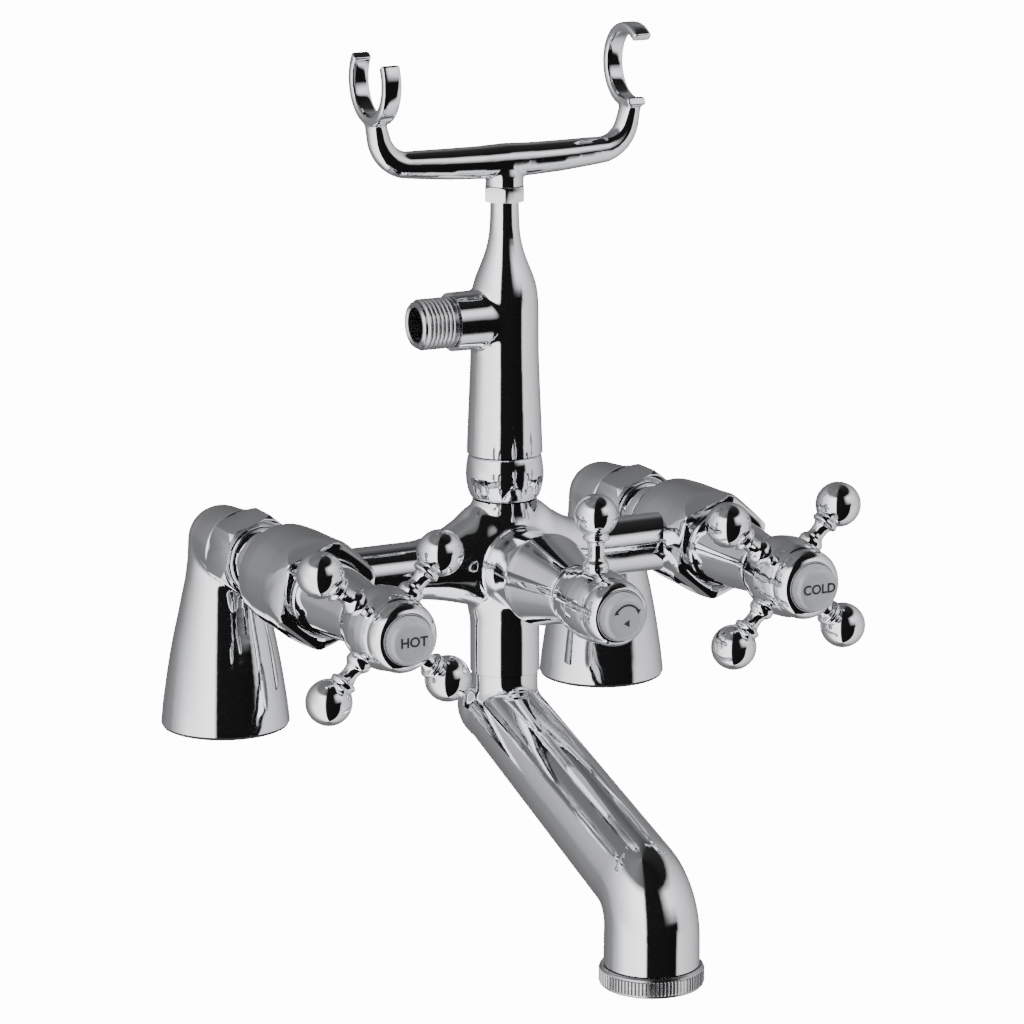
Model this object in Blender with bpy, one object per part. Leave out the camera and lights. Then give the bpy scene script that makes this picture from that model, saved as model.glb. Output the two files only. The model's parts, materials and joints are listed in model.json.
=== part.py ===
"""Bath rim mixer with cross handles, shower riser and handset cradle.

Frame: +Z up, -Y towards the person using the bath, +X to their right.
The origin is on the bath rim, halfway between the two feet.
The outlines are drawn for feet 160 mm apart. UNIT turns a drawn millimetre
into metres at the real spacing of the feet, 180 mm.
"""

import math

import bmesh
import bpy
from mathutils import Matrix, Vector

# The real spacing of the feet and the spacing that the outlines are drawn for
FEET_SPACING = 180.0
DRAWN_SPACING = 160.0
UNIT = 0.001 * FEET_SPACING / DRAWN_SPACING

# G 1/2 thread of the hose outlet, real millimetres turned into drawn ones
HOSE_THREAD_RADIUS = 20.955 / 2 * DRAWN_SPACING / FEET_SPACING
HOSE_THREAD_PITCH = 1.814 * DRAWN_SPACING / FEET_SPACING

# Driving dimensions, in drawn millimetres
VALVE_HEIGHT = 71.6
BAR_REACH = 75.0
GAP = 0.3
FOOT_RADIUS = 24.3
GASKET_THICKNESS = 1.1
BARREL_RADIUS = 19.2
BARREL_FRONT = 94.8
HEX_ACROSS_CORNERS = 39.4
CROSSBAR_RADIUS = 10.85
HANDLE_PLANE = 142.0
ARM_REACH = 32.25
BALL_RADIUS = 8.28
HUB_RADIUS = 14.7
HANDLE_ANGLE = math.radians(48.5)
CAP_RADIUS = 8.63
DIVERTER_SHIFT = 4.5
DIVERTER_REACH = 32.0
DIVERTER_FRONT = 107.5
DIVERTER_BALL_RADIUS = 7.7
DIVERTER_HUB_RADIUS = 13.2
RISER_BASE = 112.0
HOSE_HEIGHT = 162.0
HOSE_REACH = 36.3
CRADLE_HEIGHT = 219.0
HOOK_SPREAD = 51.0
HOOK_HEIGHT = 250.5
HOOK_INNER = 11.9
HOOK_OUTER = 15.5
HOOK_WIDTH = 7.3
HOOK_STEPS = 14
SPOUT_REACH = 189.5
SPOUT_TOP = 30.0
SPOUT_SLOPE = math.radians(18)
SPOUT_END = -47.8
AERATOR_END = -55.6

# Facets round a turned piece
FINE = 18
MEDIUM = 14
SMALL = 8

FORWARD = (math.pi / 2, 0.0, 0.0)


def clear_scene():
    """Remove every object that the new file starts with."""
    for item in list(bpy.data.objects):
        bpy.data.objects.remove(item, do_unlink=True)


def finish(name, colour, metallic, roughness):
    """Return a Principled material."""
    material = bpy.data.materials.new(name)
    material.use_nodes = True
    shader = material.node_tree.nodes["Principled BSDF"]
    shader.inputs["Base Color"].default_value = (*colour, 1.0)
    shader.inputs["Metallic"].default_value = metallic
    shader.inputs["Roughness"].default_value = roughness
    return material


def add_object(name, mesh, material, parent=None, location=(0, 0, 0), rotation=(0, 0, 0)):
    """Place a mesh as a named object; location is in drawn millimetres."""
    item = bpy.data.objects.new(name, mesh)
    bpy.context.scene.collection.objects.link(item)
    if material is not None:
        mesh.materials.append(material)
    item.parent = parent
    item.location = Vector(location) * UNIT
    item.rotation_euler = rotation
    return item


def pivot(name, location, rotation=(0, 0, 0)):
    """An empty on an axis, which pieces are parented to."""
    empty = bpy.data.objects.new(name, None)
    bpy.context.scene.collection.objects.link(empty)
    empty.location = Vector(location) * UNIT
    empty.rotation_euler = rotation
    return empty


def mesh_from(bm, name):
    """Scale to metres, face outwards, shade smooth and return the mesh."""
    bmesh.ops.scale(bm, vec=(UNIT, UNIT, UNIT), verts=bm.verts)
    bmesh.ops.remove_doubles(bm, verts=bm.verts, dist=1e-6)
    bmesh.ops.recalc_face_normals(bm, faces=bm.faces)
    mesh = bpy.data.meshes.new(name)
    bm.to_mesh(mesh)
    bm.free()
    mesh.shade_smooth()
    mesh.set_sharp_from_angle(angle=math.radians(35))
    return mesh


def turned_mesh(name, outline, segments=MEDIUM):
    """Turn an outline of (radius, height) about local Z.

    An outline that starts and ends on the axis gives a solid, and any other
    outline is closed into a ring.
    """
    bm = bmesh.new()
    verts = [bm.verts.new((radius, 0, height)) for radius, height in outline]
    edges = [bm.edges.new(pair) for pair in zip(verts, verts[1:])]
    if outline[0][0] > 0 or outline[-1][0] > 0:
        edges.append(bm.edges.new((verts[-1], verts[0])))
    bmesh.ops.spin(bm, geom=verts + edges, cent=(0, 0, 0), axis=(0, 0, 1),
                   angle=2 * math.pi, steps=segments, use_merge=True)
    return mesh_from(bm, name)


def turned(name, outline, material, segments=MEDIUM, **place):
    """Add a turned piece."""
    return add_object(name, turned_mesh(name, outline, segments), material, **place)


def ring(inner, outer, low, high):
    """Outline of a plain ring."""
    return [(inner, low), (outer, low), (outer, high), (inner, high)]


def rod(radius, low, high):
    """Outline of a plain round bar."""
    return [(0, low), (radius, low), (radius, high), (0, high)]


def arc_points(centre_r, centre_h, radius, start, end, count):
    """Points of an arc in an outline, with its ends, angles in degrees."""
    points = []
    for step in range(count + 1):
        angle = math.radians(start + (end - start) * step / count)
        points.append((centre_r + radius * math.cos(angle), centre_h + radius * math.sin(angle)))
    return points


def prism(name, across_corners, low, high, turn=0.0, **place):
    """A hexagonal prism along local Z, used only to shape another piece."""
    bm = bmesh.new()
    matrix = Matrix.Translation((0, 0, (low + high) / 2)) @ Matrix.Rotation(turn, 4, "Z")
    bmesh.ops.create_cone(bm, cap_ends=True, segments=6, radius1=across_corners / 2,
                          radius2=across_corners / 2, depth=high - low, matrix=matrix)
    return guide(add_object(name, mesh_from(bm, name), None, **place))


def guide(item):
    """Mark an object as a shaping tool that isn't part of the product."""
    item.hide_render = True
    item.display_type = "WIRE"
    return item


def shape(target, tool, operation):
    """Join, cut or intersect the target with a guide."""
    modifier = target.modifiers.new(tool.name, "BOOLEAN")
    modifier.operation = operation
    modifier.solver = "EXACT"
    modifier.object = guide(tool)
    return target


def swept_mesh(name, stations, across, segments=MEDIUM):
    """Loft ellipses along a path; across is square to the path's plane.

    Each station is (centre, direction, half width across, half height in the plane).
    """
    bm = bmesh.new()
    across = Vector(across)
    loops = []
    last = len(stations) - 1
    for index, (centre, direction, half_width, half_height) in enumerate(stations):
        tangent = Vector(direction).normalized()
        normal = tangent.cross(across)
        turn = Matrix((across, normal, tangent)).transposed().to_4x4()
        size = Matrix.Diagonal((half_width, half_height, 1, 1))
        matrix = Matrix.Translation(centre) @ turn @ size
        made = bmesh.ops.create_circle(bm, cap_ends=index in (0, last), segments=segments,
                                       radius=1.0, matrix=matrix)
        verts = set(made["verts"])
        loops.append([edge for edge in bm.edges if edge.verts[0] in verts and edge.verts[1] in verts])
    for lower, upper in zip(loops, loops[1:]):
        bmesh.ops.bridge_loops(bm, edges=lower + upper)
    return mesh_from(bm, name)


def bend(start, centre, angle, steps):
    """Points and directions of a circular bend in the YZ plane, without its first point."""
    found = []
    arm = Vector(start) - Vector(centre)
    side = 1 if angle > 0 else -1
    for step in range(1, steps + 1):
        turn = Matrix.Rotation(angle * step / steps, 3, "X")
        now = turn @ arm
        found.append((Vector(centre) + now, Vector((side, 0, 0)).cross(now)))
    return found


def hook_mesh(name, place_x, centre_y, centre_z, start, end, steps):
    """A flat strip bent round an axis along X, angles in degrees from +Y towards +Z."""
    bm = bmesh.new()
    half = HOOK_WIDTH / 2
    corners = [(place_x - half, HOOK_INNER), (place_x + half, HOOK_INNER),
               (place_x + half, HOOK_OUTER), (place_x - half, HOOK_OUTER)]
    verts = [bm.verts.new((x, radius, 0)) for x, radius in corners]
    edges = [bm.edges.new((verts[i], verts[(i + 1) % 4])) for i in range(4)]
    bmesh.ops.rotate(bm, verts=verts, cent=(0, 0, 0), matrix=Matrix.Rotation(math.radians(start), 3, "X"))
    bmesh.ops.spin(bm, geom=verts + edges, cent=(0, 0, 0), axis=(1, 0, 0),
                   angle=math.radians(end - start), steps=steps)
    rim = [edge for edge in bm.edges if edge.is_boundary]
    bmesh.ops.holes_fill(bm, edges=rim)
    bmesh.ops.translate(bm, verts=bm.verts, vec=(0, centre_y, centre_z))
    return mesh_from(bm, name)


def build_leg(side, x):
    """Conical leg with an elbow to the front, its foot gasket and its union."""
    top = VALVE_HEIGHT
    dome = 13.0
    foot = GASKET_THICKNESS + GAP
    cone = [(0, foot), (FOOT_RADIUS - 0.6, foot), (FOOT_RADIUS, foot + 0.7), (22.4, 17.0), (19.6, 32.6),
            (16.2, 48.2), (14.0, 60.0)]
    cone += arc_points(0, top, dome, 0, 75, 5) + [(0, top + dome)]
    leg = turned(f"{side}_leg", cone, CHROME, FINE, location=(x, 0, 0))
    neck = [(0, 1.0), (12.7, 1.0), (13.5, 6.0), (14.2, 15.0), (15.1, 15.4), (15.1, 19.4), (14.5, 20.0),
            (12.6, 20.0), (12.6, 28.0), (0, 28.0)]
    elbow = turned(f"{side}_elbow_form", neck, None, FINE, location=(x, 0, top), rotation=FORWARD)
    shape(leg, elbow, "UNION")
    bore = [(0, -2.0), (13.2, -2.0), (13.2, 16.0), (9.0, 18.0), (9.0, top), (6.0, top + 6.0), (0, top + 7.0)]
    inlet = turned(f"{side}_inlet_form", bore, None, MEDIUM, location=(x, 0, 0))
    shape(leg, inlet, "DIFFERENCE")
    outlet = turned(f"{side}_outlet_form", rod(8.2, 0.5, 32.0), None, MEDIUM,
                    location=(x, 0, top), rotation=FORWARD)
    shape(leg, outlet, "DIFFERENCE")
    turned(f"{side}_foot_gasket", ring(14.0, FOOT_RADIUS - 0.5, 0.0, GASKET_THICKNESS), RUBBER,
           FINE, location=(x, 0, 0))

    axis = {"location": (x, 0, top), "rotation": FORWARD}
    section = [(12.9, 20.3), (15.4, 20.3), (17.2, 22.3), (17.2, 36.6), (15.6, 38.2), (11.2, 38.2),
               (11.2, 33.0), (12.9, 33.0)]
    nut = turned(f"{side}_union_nut", section, CHROME, FINE, **axis)
    shape(nut, prism(f"{side}_union_hex_form", 34.2, 19.0, 40.0, math.radians(18), **axis), "INTERSECT")
    turned(f"{side}_union_washer", ring(8.5, 12.3, 28.3, 29.7), FIBRE, **axis)
    tail = [(8.2, 30.0), (12.4, 30.0), (12.4, 32.7), (10.9, 32.7), (10.9, 50.0), (8.2, 50.0)]
    turned(f"{side}_union_tail", tail, BRASS, **axis)


def barrel_outline():
    """Outer outline of a valve barrel, from its neck to the back of its hexagon."""
    return [(0, 38.6), (12.8, 38.6), (12.8, 54.0), (17.6, 56.0), (18.6, 57.4), (BARREL_RADIUS, 68.0),
            (BARREL_RADIUS, 78.0), (18.7, 86.0), (17.2, 91.0), (0, 91.0)]


def build_mixer_body():
    """The one casting: two valve barrels, the crossbar, the centre body and the spout socket."""
    half = DRAWN_SPACING / 2
    centre = (0, -BAR_REACH, VALVE_HEIGHT)
    upright = {"location": (0, -BAR_REACH, 0)}
    drum = [(0, SPOUT_TOP + GAP), (12.9, SPOUT_TOP + GAP), (12.9, 50.0), (13.4, 51.2), (13.9, 54.0),
            (13.9, 84.0), (12.6, 88.0), (11.9, 92.0), (11.8, 95.0), (8.9, 95.0), (8.9, 101.0), (0, 101.0)]
    body = turned("mixer_body", drum, CHROME, FINE, **upright)
    bar = CROSSBAR_RADIUS
    arm = [(half, bar, bar, 0), (36, bar, bar, 0), (30, 11.2, 11.9, 0.2), (24, 11.8, 13.6, 0.6),
           (18, 12.6, 16.2, 1.6), (14, 13.2, 18.6, 2.8), (9, 13.6, 19.6, 3.4)]
    along = Vector((1, 0, 0))
    stations = [((-x, 0, rise), along, wide, tall) for x, wide, tall, rise in arm]
    stations += [((x, 0, rise), along, wide, tall) for x, wide, tall, rise in reversed(arm)]
    bar_mesh = swept_mesh("crossbar_form", stations, (0, 1, 0), MEDIUM)
    crossbar = add_object("crossbar_form", bar_mesh, None, location=centre)
    shape(body, crossbar, "UNION")
    front = DIVERTER_FRONT - BAR_REACH
    neck = [(0, 0), (13.8, 0), (14.3, 10.0), (14.9, 18.0), (15.9, 25.0), (16.8, front - 0.6),
            (16.4, front), (0, front)]
    boss = turned("centre_front_form", neck, None, FINE, location=centre, rotation=FORWARD)
    shape(body, boss, "UNION")
    for side, x in (("hot", -half), ("cold", half)):
        axis = {"location": (x, 0, VALVE_HEIGHT), "rotation": FORWARD}
        barrel = turned(f"{side}_barrel_form", barrel_outline(), None, FINE, **axis)
        flare = [(0, 84.0), (17.4, 84.0), (21.5, 90.0), (21.5, BARREL_FRONT), (0, BARREL_FRONT)]
        nose = turned(f"{side}_barrel_nose_form", flare, None, FINE, **axis)
        hexagon = prism(f"{side}_barrel_hex_form", HEX_ACROSS_CORNERS, 80.0, 97.0, math.radians(20), **axis)
        shape(nose, hexagon, "INTERSECT")
        shape(body, barrel, "UNION")
        shape(body, nose, "UNION")
        hollow = [(0, 36.0), (11.2, 36.0), (11.2, 50.3), (8.2, 50.3), (8.2, 57.0), (6.4, 57.0), (6.4, 60.5),
                  (11.2, 60.5), (11.2, 91.4), (14.2, 91.4), (14.2, 97.0), (0, 97.0)]
        chamber = turned(f"{side}_chamber_form", hollow, None, MEDIUM, **axis)
        shape(body, chamber, "DIFFERENCE")
    passage = turned("crossbar_passage_form", rod(5.6, 3.0 - half, half - 3.0), None, SMALL,
                     location=centre, rotation=(0, math.pi / 2, 0))
    shape(body, passage, "DIFFERENCE")
    cavity = turned("diverter_chamber_form", rod(10.3, -5.0, 36.0), None, MEDIUM, location=centre,
                    rotation=FORWARD)
    shape(body, cavity, "DIFFERENCE")
    socket = turned("spout_socket_form", rod(10.1, SPOUT_TOP - 3.0, 57.0), None, MEDIUM, **upright)
    shape(body, socket, "DIFFERENCE")
    ways = turned("upright_passage_form", rod(6.0, 54.0, 104.0), None, SMALL, **upright)
    shape(body, ways, "DIFFERENCE")


def ball_arm(name, reach, ball_radius, angle, parent, plane, root):
    """A turned arm with a stud in the hub, a collar, a waist, a bead and a ball."""
    bead = reach - 0.9 * ball_radius
    outline = [(0, 10.4), (1.9, 10.4), (1.9, root + 0.4), (4.3, root + 0.4), (4.3, root + 2.0),
               (2.9, root + 3.6), (3.0, bead - 3.8), (4.9, bead - 0.8)]
    start = math.degrees(math.asin(-0.8))
    outline += arc_points(0, reach, ball_radius, start, 90, 5)
    outline[-1] = (0, reach + ball_radius)
    turn = Matrix.Rotation(angle - math.pi / 2, 3, "Z") @ Matrix.Rotation(-math.pi / 2, 3, "X")
    return turned(name, outline, CHROME, SMALL, parent=parent, location=(0, 0, plane),
                  rotation=turn.to_euler())


def hub_outline(shift, fullness):
    """Section of a handle hub: ovoid body, groove, domed ring and the seat of the cap.

    fullness is the largest radius of the ovoid body.
    """
    outer = [(10.4, 128.6), (11.6, 130.0), (13.3, 134.0), (14.5, 139.0), (14.7, 143.0),
             (14.1, 148.6), (12.9, 153.4), (12.2, 154.2), (12.6, 155.0), (12.1, 157.6), (10.9, 159.8)]
    girth = (fullness - 10.0) / (HUB_RADIUS - 10.0)
    inner = [(9.4, 160.8), (8.93, 160.4), (8.93, 156.0), (6.0, 156.0), (6.0, 149.4), (4.3, 149.4),
             (4.3, 128.6)]
    body = [(10.0 + (radius - 10.0) * girth, height + shift) for radius, height in outer]
    return body + [(radius, height + shift) for radius, height in inner]


def build_knob(side, pin, arms, shift, reach, ball_radius, fullness):
    """A hub with its ball arms, fixing screw and index cap, on the turning axis."""
    hub = turned(f"{side}_handle_hub", hub_outline(shift, fullness), CHROME, FINE, parent=pin)
    plane = HANDLE_PLANE + shift
    for number, angle in enumerate(arms, start=1):
        name = f"{side}_arm_{number}" if len(arms) > 1 else f"{side}_arm"
        turn = Matrix.Rotation(angle - math.pi / 2, 3, "Z") @ Matrix.Rotation(-math.pi / 2, 3, "X")
        hole = turned(f"{name}_hole_form", rod(2.2, 9.8, 18.0), None, SMALL, parent=pin,
                      location=(0, 0, plane), rotation=turn.to_euler())
        shape(hub, hole, "DIFFERENCE")
        ball_arm(name, reach, ball_radius, angle, pin, plane, fullness)
    screw = [(0, 140.0), (1.9, 140.0), (1.9, 149.8), (4.6, 149.8), (4.6, 153.0), (0, 153.0)]
    turned(f"{side}_handle_screw", [(r, h + shift) for r, h in screw], STEEL, SMALL, parent=pin)
    cap = [(0, 156.3), (CAP_RADIUS, 156.3), (CAP_RADIUS, 163.4), (CAP_RADIUS - 0.6, 164.7),
           (CAP_RADIUS - 1.9, 165.5), (0, 165.7)]
    turned(f"{side}_index_cap", [(r, h + shift) for r, h in cap], SATIN, FINE, parent=pin)


def build_valve(side, x):
    """Quarter turn headwork with ceramic discs, its bonnet and its cross handle."""
    seat = pivot(f"{side}_valve_seat", (x, 0, VALVE_HEIGHT), FORWARD)
    pin = pivot(f"{side}_turn_axis", (x, 0, VALVE_HEIGHT), FORWARD)
    shell = [(10.1, 61.0), (10.9, 61.0), (10.9, 91.1), (8.9, 91.1), (8.9, 104.0), (5.9, 104.0), (5.9, 96.0),
             (4.3, 96.0), (4.3, 72.0), (10.1, 72.0)]
    turned(f"{side}_headwork", shell, BRASS, MEDIUM, parent=seat)
    turned(f"{side}_fixed_disc", ring(3.0, 9.8, 61.3, 64.0), CERAMIC, MEDIUM, parent=seat)
    turned(f"{side}_spindle_seal", ring(4.3, 5.6, 98.0, 100.0), RUBBER, MEDIUM, parent=seat)
    cone = [(9.3, 91.7), (13.4, 91.7), (13.8, 92.2), (10.7, 127.2), (10.2, 128.2), (5.2, 128.2),
            (5.2, 125.0), (8.2, 125.0), (9.3, 105.0)]
    turned(f"{side}_bonnet", cone, CHROME, FINE, parent=seat)
    turned(f"{side}_moving_disc", rod(9.8, 64.3, 67.0), CERAMIC, MEDIUM, parent=pin)
    stem = [(0, 67.3), (9.6, 67.3), (9.6, 71.6), (4.0, 71.6), (4.0, 129.0), (3.8, 130.0), (3.8, 149.0),
            (2.3, 149.0), (2.3, 139.5), (0, 139.5)]
    turned(f"{side}_spindle", stem, BRASS, SMALL, parent=pin)
    arms = [HANDLE_ANGLE + quarter * math.pi / 2 for quarter in range(4)]
    build_knob(side, pin, arms, 0.0, ARM_REACH, BALL_RADIUS, HUB_RADIUS)


def build_diverter():
    """Bath or shower diverter: conical nose, cartridge and a one arm knob."""
    seat = pivot("diverter_seat", (0, 0, VALVE_HEIGHT), FORWARD)
    pin = pivot("diverter_turn_axis", (0, 0, VALVE_HEIGHT), FORWARD)
    front = DIVERTER_FRONT
    cone = [(8.0, front + GAP), (16.4, front + GAP), (16.9, front + 0.8), (10.9, 131.4), (10.2, 132.7),
            (5.2, 132.7), (5.2, 129.5), (8.0, 129.5)]
    turned("diverter_nose", cone, CHROME, FINE, parent=seat)
    shell = [(4.3, 97.0), (10.0, 97.0), (10.0, front - GAP), (7.6, front - GAP), (7.6, 119.0), (5.9, 119.0),
             (5.9, 112.0), (4.3, 112.0)]
    turned("diverter_cartridge", shell, BRASS, MEDIUM, parent=seat)
    turned("diverter_seal", ring(4.3, 5.6, 114.0, 116.0), RUBBER, MEDIUM, parent=seat)
    spool = [(0, 71.0), (9.6, 71.0), (9.6, 74.0), (4.0, 74.0), (4.0, 92.0), (9.6, 92.0), (9.6, 96.6),
             (4.0, 96.6), (4.0, 133.0), (3.8, 134.0), (3.8, 153.5), (2.3, 153.5), (2.3, 144.0), (0, 144.0)]
    turned("diverter_spindle", spool, BRASS, SMALL, parent=pin)
    build_knob("diverter", pin, [math.pi / 2], DIVERTER_SHIFT, DIVERTER_REACH, DIVERTER_BALL_RADIUS,
               DIVERTER_HUB_RADIUS)


def build_riser():
    """Ball collar nut, riser column, hose nipple and the nut under the cradle."""
    upright = {"location": (0, -BAR_REACH, 0)}
    turned("riser_washer", ring(6.2, 8.9, 101.3, 102.5), FIBRE, **upright)
    ball = [(9.2, 95.4), (11.7, 95.4), (12.9, 97.0), (13.8, 99.4), (14.2, 102.4), (14.1, 106.0),
            (13.7, 109.4), (13.1, 111.7), (9.2, 111.7)]
    turned("riser_collar", ball, CHROME, FINE, **upright)
    bottle = [(0, 102.8), (8.9, 102.8), (8.9, RISER_BASE), (13.7, RISER_BASE), (14.1, 112.6), (13.2, 130.0),
              (12.5, 146.0), (12.4, 168.0), (12.0, 172.0), (10.9, 176.0), (8.6, 181.0), (6.6, 186.0),
              (5.6, 191.0), (5.4, 196.0), (5.2, 204.2), (3.6, 204.2), (3.6, 216.0), (0, 216.0)]
    column = turned("riser_column", bottle, CHROME, FINE, **upright)
    sideways = {"location": (0, -BAR_REACH, HOSE_HEIGHT), "rotation": (0, -math.pi / 2, 0)}
    spur = [(0, 0), (10.9, 0), (10.7, 21.4), (10.2, 22.0), (0, 22.0)]
    boss = turned("hose_boss_form", spur, None, FINE, **sideways)
    shape(column, boss, "UNION")
    waterway = [(0, 100.0), (6.5, 100.0), (6.5, 170.0), (0, 172.0)]
    bore = turned("riser_bore_form", waterway, None, SMALL, **upright)
    shape(column, bore, "DIFFERENCE")
    counterbore = [(0, 1.0), (6.0, 1.0), (6.0, 13.0), (8.9, 13.0), (8.9, 24.0), (0, 24.0)]
    seat = turned("hose_seat_form", counterbore, None, MEDIUM, **sideways)
    shape(column, seat, "DIFFERENCE")
    ridges = []
    root = HOSE_THREAD_RADIUS - 0.9
    for turn_number in range(7):
        low = 23.4 + turn_number * HOSE_THREAD_PITCH
        ridges += [(root, low), (HOSE_THREAD_RADIUS, low + HOSE_THREAD_PITCH / 2)]
    stub = [(6.3, 13.3), (8.6, 13.3), (8.6, 22.3), (9.3, 22.3), (9.3, 23.0)]
    end = [(root, 35.2), (8.0, HOSE_REACH), (6.3, HOSE_REACH)]
    turned("hose_nipple", stub + ridges + end, CHROME, MEDIUM, **sideways)
    section = [(3.9, 204.5), (7.4, 204.5), (8.1, 205.2), (8.1, 209.4), (7.4, 210.0), (3.9, 210.0)]
    nut = turned("cradle_nut", section, CHROME, FINE, **upright)
    shape(nut, prism("cradle_nut_hex_form", 16.0, 203.0, 212.0, math.radians(5), **upright), "INTERSECT")


def build_cradle():
    """Handset cradle: one bar, turned up at both ends, with a hook on each."""
    y = -BAR_REACH
    z = CRADLE_HEIGHT
    half = [((0, y, z), (1, 0, 0), 6.3, 6.4), ((10, y, z), (1, 0, 0), 5.9, 6.0),
            ((22, y, z + 0.3), (1, 0, 0.03), 5.8, 5.7), ((34, y, z + 0.9), (1, 0, 0.08), 5.3, 5.2)]
    for angle in (12, 32, 54, 76):
        radians = math.radians(angle)
        x = 37.6 + 12.4 * math.sin(radians)
        half.append(((x, y, z + 13.4 - 12.4 * math.cos(radians)),
                     (math.cos(radians), 0, math.sin(radians)), 5.0 - 0.009 * angle, 5.0 - 0.009 * angle))
    half.append(((HOOK_SPREAD - 0.3, y, z + 15.5), (0.05, 0, 1), 4.4, 3.9))
    half.append(((HOOK_SPREAD, y, z + 18.4), (0, 0, 1), 5.4, 3.5))
    stations = [((-p[0], p[1], p[2]), (d[0], 0, -d[2]), w, h) for p, d, w, h in reversed(half[1:])] + half
    cradle = add_object("cradle", swept_mesh("cradle", stations, (0, 1, 0), SMALL), CHROME)
    base = [(0, 210.3), (6.6, 210.3), (6.9, 211.5), (6.9, 214.0), (5.5, 219.0), (0, 220.0)]
    boss = turned("cradle_boss_form", base, None, MEDIUM, location=(0, y, 0))
    shape(cradle, boss, "UNION")
    for name, x, start, end in (("left_hook_form", -HOOK_SPREAD, 150, 398),
                                ("right_hook_form", HOOK_SPREAD, -112, 130)):
        hook = add_object(name, hook_mesh(name, x, y, HOOK_HEIGHT, start, end, HOOK_STEPS), None)
        shape(cradle, hook, "UNION")
    hole = turned("cradle_hole_form", rod(3.9, 208.0, 217.0), None, MEDIUM, location=(0, y, 0))
    shape(cradle, hole, "DIFFERENCE")


def build_spout():
    """Swivel spout on the socket's axis, with its seals and the aerator."""
    y = -BAR_REACH
    axis = pivot("spout_swivel_axis", (0, y, 0))
    slope = SPOUT_SLOPE
    turn = math.pi / 2 - slope
    down = Vector((0, 0, -1))
    lower = 18.0
    heel = Vector((0, 6.0, 15.5))
    heel_radius = 15.0
    ahead = Vector((0, -math.cos(slope), -math.sin(slope)))
    bend_y = -(SPOUT_REACH - BAR_REACH) + lower - lower * math.sin(slope)
    run = (heel.y - bend_y) / math.cos(slope)
    path = [(heel, ahead, 14.4)]
    for part in (0.35, 0.7, 1.0):
        path.append((heel + ahead * run * part, ahead, 14.4 + 1.2 * part))
    corner = path[-1][0]
    centre = corner + Vector((0, math.sin(slope), -math.cos(slope))) * lower
    for place, direction in bend(corner, centre, turn, 6):
        path.append((place, direction, 16.6))
    path.append((Vector((0, path[-1][0].y, SPOUT_END)), down, 17.0))
    stations = [(place, direction, radius, radius) for place, direction, radius in path]
    stations[0] = (heel - ahead * 3.0, ahead, 14.2, 14.2)
    spout = add_object("spout", swept_mesh("spout", stations, (1, 0, 0), MEDIUM), CHROME, parent=axis)
    ball = arc_points(0, 0, heel_radius, -75, 75, 8)
    heel_ball = turned("spout_heel_form", ball, None, FINE, parent=axis, location=heel)
    shape(spout, heel_ball, "UNION")
    stem = [(0, 10.0), (12.2, 10.0), (12.4, SPOUT_TOP), (9.6, SPOUT_TOP), (9.6, 37.5), (8.0, 37.5),
            (8.0, 40.1), (9.6, 40.1), (9.6, 45.5), (8.0, 45.5), (8.0, 48.1), (9.6, 48.1), (9.6, 51.5),
            (8.0, 51.5), (8.0, 54.1), (9.6, 54.1), (9.2, 56.0), (0, 56.0)]
    spigot = turned("spout_spigot_form", stem, None, MEDIUM, parent=axis)
    shape(spout, spigot, "UNION")
    tip = (0, path[-1][0].y, 0)
    collar = turned("spout_thread_form", rod(14.2, SPOUT_END - 2.5, SPOUT_END + 3.0), None, MEDIUM,
                    parent=axis, location=tip)
    shape(spout, collar, "UNION")
    bore = [(place, direction, min(11.0, radius - 5.6), min(11.0, radius - 5.6))
            for place, direction, radius in path]
    bore[-1] = (Vector((0, tip[1], SPOUT_END - 6.0)), down, 11.0, 11.0)
    hollow_mesh = swept_mesh("spout_bore_form", bore, (1, 0, 0), SMALL)
    hollow = add_object("spout_bore_form", hollow_mesh, None, parent=axis)
    shape(spout, hollow, "DIFFERENCE")
    drop = turned("spout_drop_form", rod(6.6, 9.0, 60.0), None, SMALL, parent=axis)
    shape(spout, drop, "DIFFERENCE")
    for name, low in (("spout_lower_seal", 37.8), ("spout_upper_seal", 45.8)):
        turned(name, ring(8.3, 9.8, low, low + 2.0), RUBBER, MEDIUM, parent=axis)
    turned("spout_bearing_ring", ring(8.3, 9.8, 51.8, 53.8), NYLON, MEDIUM, parent=axis)

    housing = [(14.5, SPOUT_END - GAP), (17.6, SPOUT_END - GAP), (18.5, SPOUT_END - 0.9),
               (18.5, AERATOR_END + 0.9), (17.7, AERATOR_END), (11.5, AERATOR_END),
               (11.5, AERATOR_END + 2.0), (14.5, AERATOR_END + 2.0)]
    turned("aerator_housing", housing, CHROME, FINE, parent=axis, location=tip)
    turned("aerator_washer", ring(11.2, 14.1, SPOUT_END - 3.8, SPOUT_END - 2.8), RUBBER, MEDIUM,
           parent=axis, location=tip)
    disc = [(0, AERATOR_END + 0.4), (11.1, AERATOR_END + 0.4), (11.1, AERATOR_END + 2.3),
            (14.1, AERATOR_END + 2.3), (14.1, AERATOR_END + 3.6), (0, AERATOR_END + 3.6)]
    insert = turned("aerator_insert", disc, NYLON, MEDIUM, parent=axis, location=tip)
    for number in range(6):
        angle = 0.13 + number * math.pi / 3
        place = (5.6 * math.cos(angle), tip[1] + 5.6 * math.sin(angle), 0)
        jet = turned(f"aerator_jet_form_{number + 1}", rod(1.8, AERATOR_END - 1.0, AERATOR_END + 5.0),
                     None, SMALL, parent=axis, location=place)
        shape(insert, jet, "DIFFERENCE")


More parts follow.
